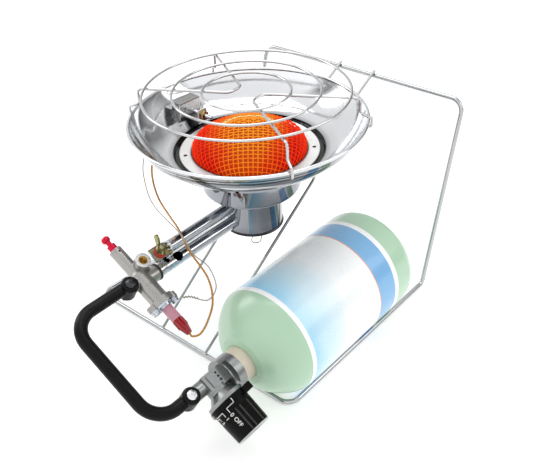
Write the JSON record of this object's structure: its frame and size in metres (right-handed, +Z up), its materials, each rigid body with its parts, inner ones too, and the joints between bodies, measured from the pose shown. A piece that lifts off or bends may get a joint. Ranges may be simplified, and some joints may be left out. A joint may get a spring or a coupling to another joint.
{
  "type": "portable propane heater",
  "caption": "Tabletop gas heater: round dish reflector over a glowing mesh burner on a bent wire stand, fed through a safety valve and regulator from a small gas cylinder.",
  "frame": {"origin": "centre of the heater's outline on the surface it stands on", "axes": "+Z up, +X to the right along the front bar, +Y from the front bar to the uprights"},
  "size_m": [0.2638, 0.3758, 0.2205],
  "materials": {
    "bright_wire": "bright zinc plated wire",
    "mirror_sheet": "polished pressed sheet with fine swirl lines",
    "grille_wire": "nickel plated wire, straw tint from heat",
    "cup_sheet": "polished pressed sheet",
    "dark_gasket": "dark heat-proof gasket",
    "pale_sheet": "pale satin sheet",
    "hot_mesh": "glowing woven steel mesh",
    "glow_core": "glowing ceramic core",
    "dark_steel": "dark plated steel",
    "clip_wire": "thin spring wire",
    "yellow_zinc": "yellow zinc plated",
    "red_fibre": "red fibre",
    "probe_steel": "turned steel",
    "brass": "turned brass",
    "cast_alloy": "die-cast alloy, bead blasted",
    "black_rubber": "black rubber",
    "red_anodised": "red anodised, turned",
    "zinc_plate": "bright zinc plate",
    "pink_sleeve": "clear pink sleeve",
    "red_plastic": "clear red plastic",
    "lead_sheath": "brown lacquered copper lead",
    "earth_sheath": "thin bare wire",
    "black_pipe": "black coated pipe",
    "black_fitting": "black moulded fitting",
    "screw_steel": "blackened steel",
    "black_knob": "moulded black plastic",
    "grey_rim": "light grey plastic",
    "green_paint": "pale green enamel",
    "label_film": "printed film, bands only",
    "ivory_plastic": "ivory plastic"
  },
  "bodies": {
    "root": {"front_bar": "bright_wire", "left_base_bar": "bright_wire", "right_base_bar": "bright_wire", "left_upright": "bright_wire", "right_upright": "bright_wire", "top_bar": "bright_wire", "left_strut": "bright_wire", "right_strut": "bright_wire", "reflector_bowl": "mirror_sheet", "grille_outer_ring": "grille_wire", "grille_middle_ring": "grille_wire", "grille_inner_ring": "grille_wire", "grille_left_wire": "grille_wire", "grille_right_wire": "grille_wire", "burner_cup": "cup_sheet", "tray_gasket": "dark_gasket", "flange_ring": "pale_sheet", "mesh_dome": "hot_mesh", "inner_diffuser": "glow_core", "flange_studs": "dark_steel", "mixing_cup": "cup_sheet", "cup_tie_wire": "clip_wire", "mixer_tube": "cup_sheet", "support_arm": "cup_sheet", "clamp_plate": "cup_sheet", "clamp_stud": "yellow_zinc", "fibre_washer": "red_fibre", "sensor_bracket": "pale_sheet", "sensor_probe": "probe_steel", "probe_nut": "brass", "valve_body": "cast_alloy", "port_insert": "brass", "outlet_seal": "black_rubber", "end_cap": "zinc_plate", "cap_screws": "zinc_plate", "lead_collar": "pink_sleeve", "lead_connector": "red_plastic", "sensor_lead": "lead_sheath", "earth_wire": "earth_sheath", "gas_pipe": "black_pipe", "upper_banjo": "black_fitting", "lower_banjo": "black_fitting", "banjo_screws": "screw_steel", "regulator_body": "cast_alloy", "inlet_head": "cast_alloy", "inlet_seal": "black_rubber", "spindle": "probe_steel"},
    "button": {"reset_button": "red_anodised"},
    "knob": {"knob": "black_knob", "knob_rim": "grey_rim"},
    "wing_nut": {"wing_nut": "yellow_zinc"},
    "cylinder": {"cylinder_shell": "green_paint", "label_sleeve": "label_film", "neck_collar": "ivory_plastic", "cylinder_valve": "brass"}
  },
  "joints": [
    {"name": "button_press", "type": "slide", "parent": "root", "child": "button", "axis": [0.87, 0, -0.493], "range_m": [0, 0.004], "stiffness_N_per_m": 600, "springref_m": -0.004},
    {"name": "knob_turn", "type": "hinge", "parent": "root", "child": "knob", "pos_m": [0.10496, -0.12537, 0.03691], "axis": [0.87, 0, -0.493], "range_deg": [0, 270]},
    {"name": "wing_nut_turn", "type": "hinge", "parent": "root", "child": "wing_nut", "pos_m": [-0.01137, -0.08388, 0.11662], "axis": [0.493, 0, 0.87], "range_deg": [-180, 180]},
    {"name": "cylinder_slide", "type": "slide", "parent": "root", "child": "cylinder", "axis": [0, 1, 0], "range_m": [0, 0.04]}
  ]
}
